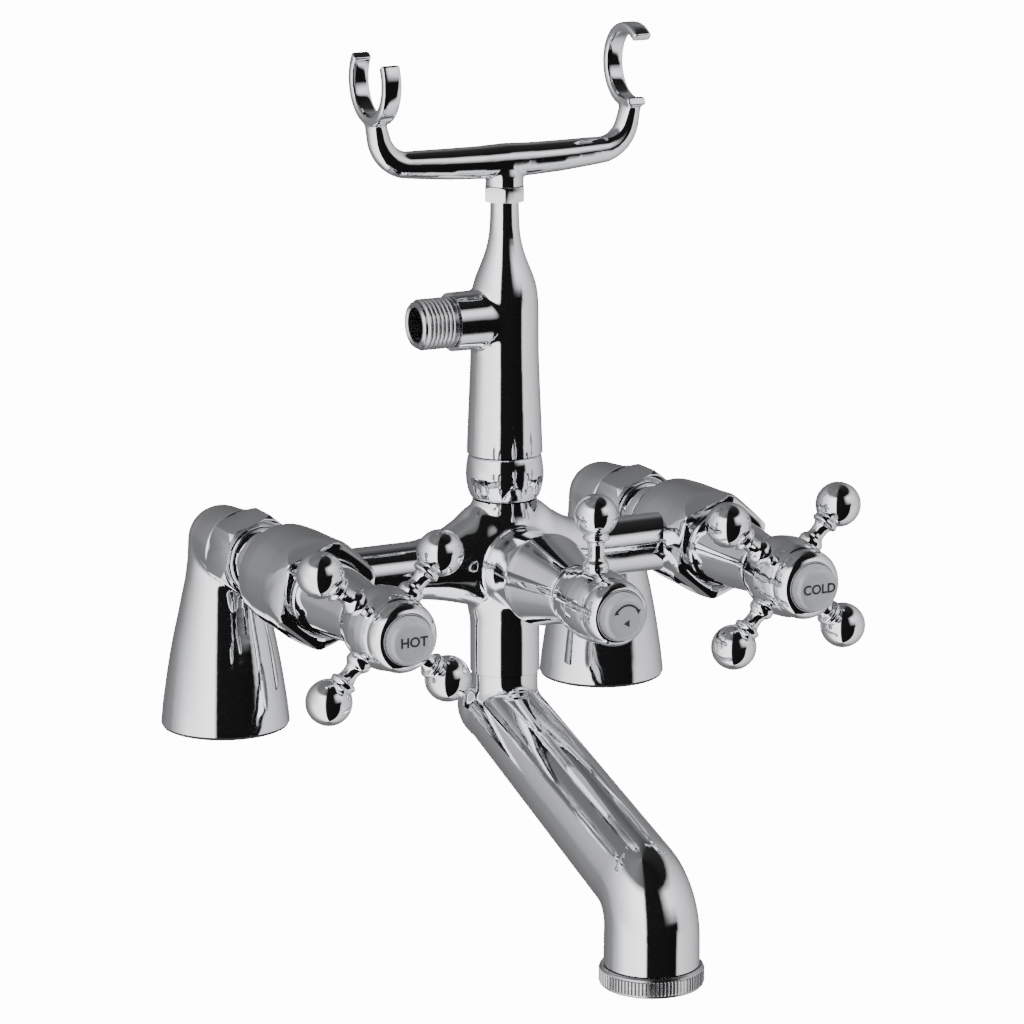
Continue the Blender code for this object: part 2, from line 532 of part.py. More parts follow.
clear_scene()
CHROME = finish("chrome", (0.78, 0.79, 0.81), 1.0, 0.06)
SATIN = finish("satin_chrome", (0.62, 0.63, 0.65), 1.0, 0.35)
BRASS = finish("brass", (0.72, 0.55, 0.28), 1.0, 0.3)
STEEL = finish("stainless_steel", (0.6, 0.6, 0.6), 1.0, 0.3)
RUBBER = finish("black_rubber", (0.03, 0.03, 0.03), 0.0, 0.7)
FIBRE = finish("red_fibre", (0.35, 0.08, 0.05), 0.0, 0.8)
CERAMIC = finish("white_ceramic", (0.85, 0.85, 0.82), 0.0, 0.2)
NYLON = finish("white_nylon", (0.8, 0.8, 0.78), 0.0, 0.45)

for SIDE, PLACE in (("hot", -DRAWN_SPACING / 2), ("cold", DRAWN_SPACING / 2)):
    build_leg(SIDE, PLACE)
    build_valve(SIDE, PLACE)
build_mixer_body()
build_diverter()
build_riser()
build_cradle()
build_spout()
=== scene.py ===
"""Looks of a bath rim mixer with cross handles, shower riser and handset cradle.

Outlines are drawn in millimetres for feet 160 mm apart, with +Z up, -Y towards
the bath and +X towards the cold side. UNIT turns them into metres at the real
spacing of the feet, 180 mm.
"""

import json
import logging
import math
from dataclasses import dataclass
from enum import Enum
from typing import Sequence

import bmesh
import bpy
from mathutils import Matrix, Vector

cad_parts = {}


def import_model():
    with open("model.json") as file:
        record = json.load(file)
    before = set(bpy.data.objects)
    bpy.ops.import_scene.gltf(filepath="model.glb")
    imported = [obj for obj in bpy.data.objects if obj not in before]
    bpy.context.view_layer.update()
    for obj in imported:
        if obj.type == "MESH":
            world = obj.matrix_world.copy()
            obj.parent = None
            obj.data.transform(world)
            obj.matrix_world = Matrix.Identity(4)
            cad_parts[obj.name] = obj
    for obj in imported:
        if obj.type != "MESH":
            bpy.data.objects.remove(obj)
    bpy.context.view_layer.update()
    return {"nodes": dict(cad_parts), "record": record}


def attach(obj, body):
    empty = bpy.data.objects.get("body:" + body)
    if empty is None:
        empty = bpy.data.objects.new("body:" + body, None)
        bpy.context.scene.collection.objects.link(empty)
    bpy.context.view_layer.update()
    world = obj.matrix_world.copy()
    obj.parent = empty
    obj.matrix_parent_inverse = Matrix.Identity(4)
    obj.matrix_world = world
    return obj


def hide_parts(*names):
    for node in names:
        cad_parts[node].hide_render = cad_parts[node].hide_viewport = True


LOG = logging.getLogger("bath_mixer")

Outline = list[tuple[float, float]]
Station = tuple[Sequence[float], Sequence[float], float, float]

FEET_SPACING = 180.0
DRAWN_SPACING = 160.0
UNIT = 0.001 * FEET_SPACING / DRAWN_SPACING
HALF_SPACING = DRAWN_SPACING / 2
VALVE_HEIGHT = 71.6
BAR_REACH = 75.0
ROUND = 96
FULL_TURN = 2 * math.pi
QUARTER_TURN = math.pi / 2
MERGE = 1e-4
CORNER_SHARE = 0.45
CROSS_ANGLE = math.radians(48.5)
LETTER_SIZE = 4.8
LETTER_RISE = 0.2


class Side(Enum):
    """The two supplies, with the side of the frame that each stands on."""

    HOT = -1
    COLD = 1

    @property
    def word(self) -> str:
        """The name that this supply's pieces start with."""
        return self.name.lower()

    @property
    def place(self) -> float:
        """The drawn x of this supply's axis."""
        return self.value * HALF_SPACING


class Texture(Enum):
    """How a finish varies over its surface."""

    POLISHED = "polished"
    CAST = "cast"
    TURNED = "turned"
    GRAINED = "grained"


# ---------------------------------------------------------------- finishes

WAVE_DETAIL = 2.0
GRAIN_DETAIL = 4.0
GRAIN_LOW = 0.35
GRAIN_HIGH = 0.75
TURNING_STRETCH = (0.12, 1.0, 0.12)


@dataclass(frozen=True)
class Finish:
    """One finish, with the slot of the record that it belongs to.

    The scales are in cycles per metre and the heights in metres.
    """

    name: str
    slot: str
    texture: Texture
    colour: tuple[float, float, float]
    shade: tuple[float, float, float]
    metallic: float
    rough_low: float
    rough_high: float
    wave_scale: float
    wave_height: float
    grain_scale: float
    grain_height: float

    def build(self) -> bpy.types.Material:
        """Make the material, or return it if it is there already.

        Returns:
            The Principled material with its colour, roughness and relief.
        """
        found = bpy.data.materials.get(self.name)
        if found is not None:
            return found
        material = bpy.data.materials.new(self.name)
        material.use_nodes = True
        nodes = material.node_tree.nodes
        link = material.node_tree.links.new
        shader = nodes["Principled BSDF"]
        shader.inputs["Metallic"].default_value = self.metallic
        place = nodes.new("ShaderNodeTexCoord").outputs["Object"]
        wave = self._noise(nodes, link, place, self.wave_scale, WAVE_DETAIL)
        along = self._stretched(nodes, link, place)
        grain = self._noise(nodes, link, along, self.grain_scale, GRAIN_DETAIL)
        tint = nodes.new("ShaderNodeMix")
        tint.data_type = "RGBA"
        tint.inputs["A"].default_value = (*self.colour, 1.0)
        tint.inputs["B"].default_value = (*self.shade, 1.0)
        link(grain, tint.inputs["Factor"])
        link(tint.outputs["Result"], shader.inputs["Base Color"])
        dull = nodes.new("ShaderNodeMapRange")
        dull.inputs["From Min"].default_value = GRAIN_LOW
        dull.inputs["From Max"].default_value = GRAIN_HIGH
        dull.inputs["To Min"].default_value = self.rough_low
        dull.inputs["To Max"].default_value = self.rough_high
        link(grain, dull.inputs["Value"])
        link(dull.outputs["Result"], shader.inputs["Roughness"])
        swell = self._bump(nodes, link, wave, self.wave_height, None)
        relief = self._bump(nodes, link, grain, self.grain_height, swell)
        link(relief, shader.inputs["Normal"])
        return material

    def _stretched(self, nodes: bpy.types.Nodes, link,
                   place: bpy.types.NodeSocket) -> bpy.types.NodeSocket:
        """Stretch the pattern square to Y where the finish is turned."""
        if self.texture is not Texture.TURNED:
            return place
        mapping = nodes.new("ShaderNodeMapping")
        mapping.inputs["Scale"].default_value = TURNING_STRETCH
        link(place, mapping.inputs["Vector"])
        return mapping.outputs["Vector"]

    @staticmethod
    def _noise(nodes: bpy.types.Nodes, link, place: bpy.types.NodeSocket, scale: float,
               detail: float) -> bpy.types.NodeSocket:
        """Add a noise of that scale and return its value."""
        noise = nodes.new("ShaderNodeTexNoise")
        noise.inputs["Scale"].default_value = scale
        noise.inputs["Detail"].default_value = detail
        link(place, noise.inputs["Vector"])
        return noise.outputs["Fac"]

    @staticmethod
    def _bump(nodes: bpy.types.Nodes, link, height: bpy.types.NodeSocket, distance: float,
              under: bpy.types.NodeSocket | None) -> bpy.types.NodeSocket:
        """Turn a height into relief on top of an earlier relief."""
        bump = nodes.new("ShaderNodeBump")
        bump.inputs["Strength"].default_value = 1.0
        bump.inputs["Distance"].default_value = distance
        link(height, bump.inputs["Height"])
        if under is not None:
            link(under, bump.inputs["Normal"])
        return bump.outputs["Normal"]


CHROME = Finish("polished_chrome", "chrome", Texture.POLISHED, (0.86, 0.87, 0.89), (0.80, 0.81, 0.83),
                1.0, 0.025, 0.07, 45.0, 0.00003, 900.0, 0.0000008)
CAST_CHROME = Finish("cast_chrome", "chrome", Texture.CAST, (0.86, 0.87, 0.89), (0.78, 0.79, 0.81),
                     1.0, 0.03, 0.09, 38.0, 0.00012, 700.0, 0.0000012)
THREAD_CHROME = Finish("thread_chrome", "chrome", Texture.TURNED, (0.62, 0.62, 0.63), (0.42, 0.42, 0.43),
                       1.0, 0.18, 0.34, 60.0, 0.00001, 1500.0, 0.000004)
SATIN_CAP = Finish("satin_cap", "satin_chrome", Texture.GRAINED, (0.5, 0.51, 0.53), (0.44, 0.45, 0.47),
                   0.25, 0.3, 0.42, 70.0, 0.000004, 2600.0, 0.0000006)
INK = Finish("index_ink", "satin_chrome", Texture.GRAINED, (0.012, 0.012, 0.014), (0.03, 0.03, 0.03),
             0.0, 0.45, 0.6, 90.0, 0.00001, 2500.0, 0.000004)
BRASS = Finish("turned_brass", "brass", Texture.TURNED, (0.74, 0.55, 0.27), (0.58, 0.42, 0.2),
               1.0, 0.2, 0.38, 60.0, 0.00001, 2200.0, 0.0000015)
# Brass darkened to nearly black: painted shade for the far end of the hose outlet's bore.
BORE_SHADE_BRASS = Finish("painted_shade_brass", "brass", Texture.GRAINED, (0.09, 0.075, 0.05), (0.05, 0.042, 0.03),
                    0.4, 0.5, 0.65, 60.0, 0.00001, 1200.0, 0.0000004)
STEEL = Finish("turned_steel", "stainless_steel", Texture.TURNED, (0.62, 0.62, 0.62), (0.5, 0.5, 0.5),
               1.0, 0.22, 0.36, 60.0, 0.00001, 2200.0, 0.000004)
RUBBER = Finish("moulded_rubber", "black_rubber", Texture.GRAINED, (0.028, 0.028, 0.03), (0.05, 0.05, 0.05),
                0.0, 0.6, 0.8, 80.0, 0.00001, 3500.0, 0.00002)
FIBRE = Finish("pressed_fibre", "red_fibre", Texture.GRAINED, (0.36, 0.09, 0.06), (0.24, 0.05, 0.04),
               0.0, 0.75, 0.9, 80.0, 0.00001, 2800.0, 0.00004)
CERAMIC = Finish("lapped_ceramic", "white_ceramic", Texture.GRAINED, (0.86, 0.86, 0.83), (0.8, 0.8, 0.77),
                 0.0, 0.12, 0.24, 60.0, 0.00001, 3000.0, 0.000002)
NYLON = Finish("moulded_nylon", "white_nylon", Texture.GRAINED, (0.8, 0.8, 0.78), (0.72, 0.72, 0.7),
               0.0, 0.4, 0.55, 60.0, 0.00001, 2400.0, 0.00001)
CARRIED = {finish.slot: finish
           for finish in (CHROME, SATIN_CAP, BRASS, STEEL, RUBBER, FIBRE, CERAMIC, NYLON)}
PLATED = ("hot_union_tail", "cold_union_tail")


# ---------------------------------------------------------------- mesh tools


def forward_axis(x: float) -> Matrix:
    """The place of a valve axis: local Z runs to the front and local Y up."""
    return Matrix.Translation((x, 0, VALVE_HEIGHT)) @ Matrix.Rotation(QUARTER_TURN, 4, "X")


def upright_axis(y: float = -BAR_REACH) -> Matrix:
    """The place of an upright axis in the plane of symmetry."""
    return Matrix.Translation((0, y, 0))


def eased(outline: Outline, radius: float, steps: int = 3) -> Outline:
    """Round the corners of an outline.

    Args:
        outline: Points of (radius, height).
        radius: The most that is taken off each side of a corner.
        steps: Segments in each rounded corner.

    Returns:
        The outline with a short curve in place of each inner point.
    """
    points = [Vector(point) for point in outline]
    found = [outline[0]]
    for before, corner, after in zip(points, points[1:], points[2:]):
        back = before - corner
        ahead = after - corner
        reach = min(radius, back.length * CORNER_SHARE, ahead.length * CORNER_SHARE)
        start = corner + back.normalized() * reach
        end = corner + ahead.normalized() * reach
        for step in range(steps + 1):
            t = step / steps
            spot = start * (1 - t) ** 2 + corner * 2 * t * (1 - t) + end * t ** 2
            found.append((spot.x, spot.y))
    found.append(outline[-1])
    return found


def arc(height: float, radius: float, start: float, end: float, count: int) -> Outline:
    """Points of an arc centred on the axis at a height, with its ends, angles in degrees."""
    angles = [math.radians(start + (end - start) * step / count) for step in range(count + 1)]
    return [(radius * math.cos(angle), height + radius * math.sin(angle)) for angle in angles]


def turned(outline: Outline, segments: int = ROUND) -> bmesh.types.BMesh:
    """Turn an outline about local Z.

    Args:
        outline: Points of (radius, height); one that leaves the axis open is closed into a ring.
        segments: Steps round the axis.

    Returns:
        A closed bmesh.
    """
    bm = bmesh.new()
    verts = [bm.verts.new((radius, 0, height)) for radius, height in outline]
    edges = [bm.edges.new(pair) for pair in zip(verts, verts[1:])]
    if outline[0][0] > 0 or outline[-1][0] > 0:
        edges.append(bm.edges.new((verts[-1], verts[0])))
    bmesh.ops.spin(bm, geom=verts + edges, cent=(0, 0, 0), axis=(0, 0, 1), angle=FULL_TURN,
                   steps=segments, use_merge=True)
    bmesh.ops.remove_doubles(bm, verts=bm.verts, dist=MERGE)
    bmesh.ops.recalc_face_normals(bm, faces=bm.faces)
    return bm


def swept(stations: Sequence[Station], across: Sequence[float], segments: int = 64) -> bmesh.types.BMesh:
    """Loft ellipses along a path.

    Args:
        stations: Each has a centre, a direction, a half width across and a half height.
        across: The direction square to the plane of the path.
        segments: Points round each ellipse.

    Returns:
        A closed bmesh.
    """
    bm = bmesh.new()
    side = Vector(across)
    loops = []
    for index, (centre, direction, half_width, half_height) in enumerate(stations):
        tangent = Vector(direction).normalized()
        turn = Matrix((side, tangent.cross(side), tangent)).transposed().to_4x4()
        matrix = Matrix.Translation(centre) @ turn @ Matrix.Diagonal((half_width, half_height, 1, 1))
        ends = index in (0, len(stations) - 1)
        made = set(bmesh.ops.create_circle(bm, cap_ends=ends, segments=segments, radius=1.0,
                                           matrix=matrix)["verts"])
        loops.append([edge for edge in bm.edges if edge.verts[0] in made and edge.verts[1] in made])
    for lower, upper in zip(loops, loops[1:]):
        bmesh.ops.bridge_loops(bm, edges=lower + upper)
    bmesh.ops.recalc_face_normals(bm, faces=bm.faces)
    return bm


def moved(bm: bmesh.types.BMesh, matrix: Matrix) -> bmesh.types.BMesh:
    """Place a bmesh and return it."""
    bmesh.ops.transform(bm, matrix=matrix, verts=bm.verts)
    return bm


def hexagon(circumradius: float, low: float, high: float, turn: float,
            flare: float = 0.0) -> bmesh.types.BMesh:
    """A six sided bar along local Z.

    Args:
        circumradius: Axis to corner at the high end.
        low: Height of the lower end.
        high: Height of the upper end.
        turn: Angle of a corner from +X, in radians.
        flare: What the circumradius gains for each unit towards the low end.

    Returns:
        A closed bmesh.
    """
    bm = bmesh.new()
    matrix = Matrix.Translation((0, 0, (low + high) / 2)) @ Matrix.Rotation(turn - QUARTER_TURN, 4, "Z")
    bmesh.ops.create_cone(bm, cap_ends=True, segments=6, radius1=circumradius + flare * (high - low),
                          radius2=circumradius, depth=high - low, matrix=matrix)
    return bm


def scratch_object(bm: bmesh.types.BMesh) -> bpy.types.Object:
    """Put a bmesh in a scratch object and free it."""
    mesh = bpy.data.meshes.new("scratch")
    bm.to_mesh(mesh)
    bm.free()
    item = bpy.data.objects.new("scratch", mesh)
    bpy.context.scene.collection.objects.link(item)
    return item


def settled(item: bpy.types.Object, *others: bpy.types.Object) -> bmesh.types.BMesh:
    """Take what an object's modifiers make of it, and remove it and the others."""
    graph = bpy.context.evaluated_depsgraph_get()
    bm = bmesh.new()
    bm.from_object(item, graph)
    for old in (item, *others):
        mesh = old.data
        bpy.data.objects.remove(old, do_unlink=True)
        bpy.data.meshes.remove(mesh)
    return bm


def combined(first: bmesh.types.BMesh, second: bmesh.types.BMesh, operation: str) -> bmesh.types.BMesh:
    """Join, cut or intersect two closed meshes, which are freed."""
    item = scratch_object(first)
    tool = scratch_object(second)
    modifier = item.modifiers.new("shape", "BOOLEAN")
    modifier.operation = operation
    modifier.solver = "EXACT"
    modifier.object = tool
    return settled(item, tool)


def softened(bm: bmesh.types.BMesh, angle: float, width: float, segments: int = 2) -> bmesh.types.BMesh:
    """Bevel every edge that is sharper than an angle in degrees."""
    bmesh.ops.remove_doubles(bm, verts=bm.verts, dist=10 * MERGE)
    limit = math.radians(angle)
    edges = [edge for edge in bm.edges if edge.is_manifold and edge.calc_face_angle(0.0) > limit]
    bmesh.ops.bevel(bm, geom=edges, offset=width, offset_type="OFFSET", segments=segments, profile=0.5,
                    affect="EDGES", clamp_overlap=True, material=-1)
    return bm


def fused(parts: Sequence[bmesh.types.BMesh], cell: float, passes: int) -> bmesh.types.BMesh:
    """Melt closed meshes into one casting with blended joins.

    Args:
        parts: The closed meshes, which are freed.
        cell: Size of the grid that the surface is made again on.
        passes: Smoothing passes; more give a wider blend.

    Returns:
        A closed bmesh of even quads.
    """
    whole = bmesh.new()
    for part in parts:
        mesh = bpy.data.meshes.new("part")
        part.to_mesh(mesh)
        part.free()
        whole.from_mesh(mesh)
        bpy.data.meshes.remove(mesh)
    item = scratch_object(whole)
    modifier = item.modifiers.new("melt", "REMESH")
    modifier.mode = "VOXEL"
    modifier.voxel_size = cell
    bm = settled(item)
    for _ in range(passes):
        bmesh.ops.smooth_vert(bm, verts=bm.verts, factor=0.5, use_axis_x=True, use_axis_y=True,
                              use_axis_z=True)
    return bm


def trimmed(bm: bmesh.types.BMesh, point: Sequence[float], outwards: Sequence[float]) -> bmesh.types.BMesh:
    """Cut off what lies beyond a plane and close the cut."""
    geometry = bm.verts[:] + bm.edges[:] + bm.faces[:]
    bmesh.ops.bisect_plane(bm, geom=geometry, dist=MERGE, plane_co=point, plane_no=outwards,
                           clear_outer=True)
    rim = [edge for edge in bm.edges if edge.is_boundary]
    bmesh.ops.holes_fill(bm, edges=rim)
    return bm


def piece(name: str, bm: bmesh.types.BMesh, finish: Finish, body: str, *nodes: str,
          sharp: float = 32.0) -> bpy.types.Object:
    """Turn a drawn bmesh into a finished piece.

    Args:
        name: The piece's name.
        bm: Its shape in drawn millimetres, which is freed.
        finish: The finish it takes.
        body: The CAD body it rides on.
        nodes: The CAD nodes it stands for.
        sharp: Edges over this many degrees stay crisp.

    Returns:
        The object, at the origin.
    """
    bmesh.ops.scale(bm, vec=(UNIT, UNIT, UNIT), verts=bm.verts)
    bmesh.ops.recalc_face_normals(bm, faces=bm.faces)
    mesh = bpy.data.meshes.new(name)
    bm.to_mesh(mesh)
    bm.free()
    mesh.shade_smooth()
    mesh.set_sharp_from_angle(angle=math.radians(sharp))
    mesh.materials.append(finish.build())
    item = bpy.data.objects.new(name, mesh)
    bpy.context.scene.collection.objects.link(item)
    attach(item, body)
    if nodes:
        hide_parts(*nodes)
    LOG.info("%s: %d faces on %s", name, len(mesh.polygons), body)
    return item


# ---------------------------------------------------------------- sub-assemblies

COARSE_CELL = 0.7
COLUMN_CELL = 0.6
FINE_CELL = 0.45
LIGHT_BLEND = 14
WIDE_BLEND = 22
CRISP_BLEND = 5


@dataclass
class Leg:
    """A conical leg with its elbow, foot gasket and union nut."""

    side: Side
    foot_radius: float = 24.3
    foot_height: float = 1.4
    top_radius: float = 13.0
    nut_corner: float = 17.1
    nut_turn: float = math.radians(18)

    def casting(self) -> None:
        """Build the leg with its elbow as one smooth casting."""
        radius = self.foot_radius
        cone = [(0, -4.0), (radius + 0.3, -4.0), (radius, self.foot_height), (23.5, 9.0), (22.2, 18.0),
                (20.9, 26.0), (19.4, 34.0), (17.6, 42.0), (15.9, 50.0), (14.4, 57.0), (13.4, 64.0),
                (self.top_radius, VALVE_HEIGHT)]
        cone += arc(VALVE_HEIGHT, self.top_radius, 4, 90, 20)
        cone[-1] = (0, VALVE_HEIGHT + self.top_radius)
        post = moved(turned(cone), Matrix.Translation((self.side.place, 0, 0)))
        elbow = [(0, 0), (12.9, 0), (13.5, 6.0), (14.0, 12.0), (14.3, 18.4), (0, 18.4)]
        pipe = moved(turned(elbow), forward_axis(self.side.place))
        bm = fused([post, pipe], COARSE_CELL, LIGHT_BLEND)
        trimmed(bm, (0, 0, self.foot_height), (0, 0, -1))
        piece(f"{self.side.word}_leg_casting", bm, CAST_CHROME, "fixed", f"{self.side.word}_leg")

    def lip(self) -> None:
        """Build the turned lip that the union nut screws up against."""
        outline = eased([(8.2, 16.6), (14.3, 16.6), (15.1, 17.1), (15.1, 19.3), (14.5, 19.9), (12.4, 19.9),
                         (12.4, 28.0), (8.2, 28.0)], 0.3)
        bm = moved(turned(outline), forward_axis(self.side.place))
        piece(f"{self.side.word}_leg_lip", bm, CHROME, "fixed")

    def gasket(self) -> None:
        """Build the soft ring under the foot."""
        outline = [(14.0, 0.05), (23.2, 0.05), (23.7, 0.3), (23.8, 0.7), (23.6, 1.1), (14.0, 1.1)]
        bm = moved(turned(outline), Matrix.Translation((self.side.place, 0, 0)))
        piece(f"{self.side.word}_gasket_ring", bm, RUBBER, "fixed", f"{self.side.word}_foot_gasket")

    def nut(self) -> None:
        """Build the hexagonal union nut with rounded corners."""
        outline = [(12.9, 20.3), (15.0, 20.3), (15.6, 20.7), (17.2, 23.4), (17.2, 35.6), (15.8, 38.0),
                   (15.0, 38.2), (11.2, 38.2), (11.2, 33.0), (12.9, 33.0)]
        bm = combined(turned(outline), hexagon(self.nut_corner, 19.0, 40.0, self.nut_turn), "INTERSECT")
        moved(softened(bm, 28.0, 0.35), forward_axis(self.side.place))
        piece(f"{self.side.word}_nut_piece", bm, CHROME, "fixed", f"{self.side.word}_union_nut")

    def build(self) -> None:
        """Build every visible piece of the leg."""
        self.casting()
        self.lip()
        self.gasket()
        self.nut()


@dataclass
class MixerBody:
    """The casting between the valves and the two valve barrels."""

    bar_radius: float = 10.85
    socket_radius: float = 12.9
    boss_front: float = 107.5
    barrel_front: float = 94.8
    corner_radius: float = 19.7
    corner_turn: float = math.radians(20)
    flat_slope: float = 0.2824
    socket_end: float = 30.3
    neck_top: float = 95.0

    def casting(self) -> None:
        """Build the crossbar, the centre drum and its bosses as one blended form."""
        centre = Matrix.Translation((0, -BAR_REACH, VALVE_HEIGHT))
        drum = [(0, 26.0), (self.socket_radius, 26.0), (self.socket_radius, 50.0), (13.4, 51.4), (13.9, 54.0),
                (13.9, 84.0), (12.9, 87.5), (12.1, 91.0), (11.8, self.neck_top), (11.8, 99.0), (0, 99.0)]
        bar = self.bar_radius
        arm = [(78.0, bar, bar, 0.0), (36.0, bar, bar, 0.0), (30.0, 11.2, 11.9, 0.2),
               (24.0, 11.8, 13.6, 0.6), (18.0, 12.6, 16.2, 1.6), (14.0, 13.2, 18.6, 2.8),
               (9.0, 13.6, 19.6, 3.4)]
        stations = [((-x, 0, rise), (1, 0, 0), wide, tall) for x, wide, tall, rise in arm]
        stations += [((x, 0, rise), (1, 0, 0), wide, tall) for x, wide, tall, rise in reversed(arm)]
        front = self.boss_front - BAR_REACH
        boss = [(0, 0), (13.8, 0), (14.3, 10.0), (14.9, 18.0), (15.9, 25.0), (16.8, front),
                (17.0, front + 5.0), (0, front + 5.0)]
        forms = [moved(turned(drum), upright_axis()), moved(swept(stations, (0, 1, 0)), centre),
                 moved(turned(boss), centre @ Matrix.Rotation(QUARTER_TURN, 4, "X"))]
        bm = fused(forms, COARSE_CELL, WIDE_BLEND)
        trimmed(bm, (0, 0, self.socket_end), (0, 0, -1))
        trimmed(bm, (0, 0, self.neck_top), (0, 0, 1))
        trimmed(bm, (0, -self.boss_front, 0), (0, -1, 0))
        piece("body_casting", bm, CAST_CHROME, "fixed", "mixer_body")

    def barrel(self, side: Side) -> None:
        """Build a valve barrel whose round body ends in a hexagon at the front."""
        front = self.barrel_front
        outline = [(0, 46.0), (12.8, 46.0), (12.8, 54.4), (17.2, 55.6), (18.5, 57.4), (19.1, 66.0),
                   (19.4, 80.0), (19.9, 90.0), (19.9, front), (0, front)]
        flats = hexagon(self.corner_radius, 50.0, front + 1.0, self.corner_turn, self.flat_slope)
        form = combined(turned(eased(outline, 0.9)), flats, "INTERSECT")
        recess = [(0, 91.0), (14.15, 91.0), (14.15, front - 0.2), (14.5, front + 0.6), (0, front + 0.6)]
        form = combined(form, turned(eased(recess, 0.1)), "DIFFERENCE")
        moved(softened(form, 24.0, 0.3), forward_axis(side.place))
        piece(f"{side.word}_barrel", form, CHROME, "fixed", sharp=24.0)

    def neck(self, side: Side) -> None:
        """Build the plain neck between the union nut and the barrel."""
        outline = eased([(8.3, 38.6), (12.2, 38.6), (12.8, 39.2), (12.8, 47.0), (8.3, 47.0)], 0.2)
        bm = moved(turned(outline), forward_axis(side.place))
        piece(f"{side.word}_barrel_neck", bm, CHROME, "fixed")

    def build(self) -> None:
        """Build the casting and both barrels."""
        self.casting()
        for side in Side:
            self.barrel(side)
            self.neck(side)


@dataclass
class Knob:
    """A turned hub with ball arms and an index cap."""

    word: str
    body: str
    x: float
    angles: tuple[float, ...]
    shift: float
    reach: float
    ball_radius: float
    hub_radius: float
    cap_radius: float = 8.63
    cap_face: float = 165.74
    plane: float = 142.0
    full_radius: float = 14.7
    core_radius: float = 10.0
    bead_share: float = 0.9
    ball_cut: float = -0.84

    def hub(self) -> None:
        """Build the ovoid hub with its groove, domed ring and cap seat."""
        outer = [(10.2, 128.6), (10.9, 129.1), (12.4, 131.6), (13.6, 135.4), (14.4, 139.6), (14.7, 143.4),
                 (14.3, 147.6), (13.6, 150.8), (12.8, 153.0), (12.1, 153.9), (12.7, 154.6), (12.9, 156.0),
                 (12.6, 157.6), (11.8, 159.2), (10.6, 160.4), (9.4, 161.0)]
        core = self.core_radius
        girth = (self.hub_radius - core) / (self.full_radius - core)
        outline = [(core + (radius - core) * girth, height) for radius, height in outer]
        outline += [(8.8, 160.9), (8.75, 160.2), (8.75, 156.0), (5.0, 156.0), (5.0, 149.4), (4.4, 149.4),
                    (4.4, 128.6)]
        outline = [(radius, height + self.shift) for radius, height in outline]
        bm = moved(turned(eased(outline, 0.6)), forward_axis(self.x))
        piece(f"{self.word}_hub_piece", bm, CHROME, self.body, f"{self.word}_handle_hub")

    def arm(self, name: str, angle: float) -> None:
        """Build one turned arm: collar, waist, bead and ball."""
        root = self.hub_radius - 1.6
        bead = self.reach - self.bead_share * self.ball_radius
        outline = [(0, root), (4.6, root), (4.7, root + 2.6), (4.2, root + 3.6), (3.2, root + 4.6),
                   (2.9, root + 5.8), (3.0, bead - 3.6), (3.4, bead - 2.2), (4.6, bead - 1.7),
                   (5.0, bead - 1.0), (4.7, bead - 0.3)]
        outline += arc(self.reach, self.ball_radius, math.degrees(math.asin(self.ball_cut)), 90, 24)
        outline[-1] = (0, self.reach + self.ball_radius)
        turn = Matrix.Rotation(angle - QUARTER_TURN, 4, "Z") @ Matrix.Rotation(-QUARTER_TURN, 4, "X")
        place = forward_axis(self.x) @ Matrix.Translation((0, 0, self.plane + self.shift)) @ turn
        bm = moved(turned(eased(outline, 0.35, 2), 64), place)
        piece(f"{name}_piece", bm, CHROME, self.body, name)

    def cap(self) -> None:
        """Build the satin index cap."""
        radius = self.cap_radius
        outline = [(0, 156.4), (radius, 156.4), (radius, 162.6), (radius - 0.35, 163.9),
                   (radius - 1.0, 164.9), (radius - 2.0, 165.5), (radius - 3.2, 165.7), (0, 165.75)]
        outline = [(r, height + self.shift) for r, height in outline]
        bm = moved(turned(eased(outline, 0.5)), forward_axis(self.x))
        piece(f"{self.word}_cap_piece", bm, SATIN_CAP, self.body, f"{self.word}_index_cap")

    def face(self) -> float:
        """How far forward the face of the cap is."""
        return self.cap_face + self.shift

    def build(self) -> None:
        """Build the hub, its arms and its cap."""
        self.hub()
        for number, angle in enumerate(self.angles, start=1):
            name = f"{self.word}_arm_{number}" if len(self.angles) > 1 else f"{self.word}_arm"
            self.arm(name, angle)
        self.cap()


